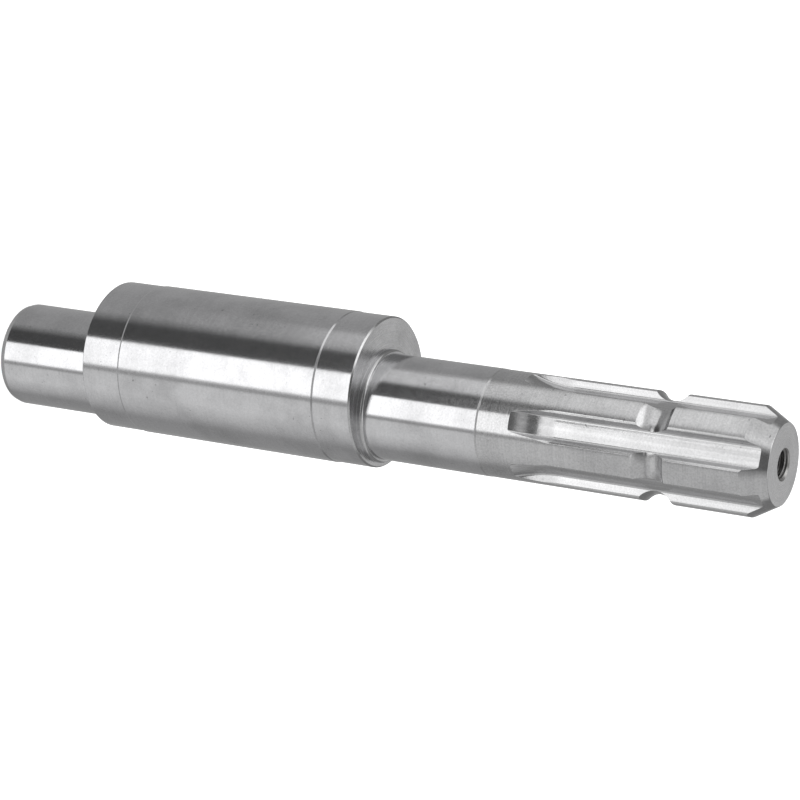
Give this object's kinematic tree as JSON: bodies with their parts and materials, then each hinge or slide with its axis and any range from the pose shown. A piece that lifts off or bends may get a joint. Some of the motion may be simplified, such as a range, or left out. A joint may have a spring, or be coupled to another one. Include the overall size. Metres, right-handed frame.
{
  "type": "pump shaft",
  "caption": "Steel pump shaft with a short journal, a thick eccentric journal and a splined drive end with locking groove and tapped end hole.",
  "frame": {"origin": "centre of the short journal's end face, on the main axis", "axes": "+Z along the main axis towards the splined end, +X towards the thick journal's own axis (the throw)"},
  "size_m": [0.0504, 0.0504, 0.282],
  "materials": {
    "ground_steel": "ground journals, turned and milled spline end"
  },
  "bodies": {
    "root": {"pump_shaft": "ground_steel"}
  },
  "joints": []
}
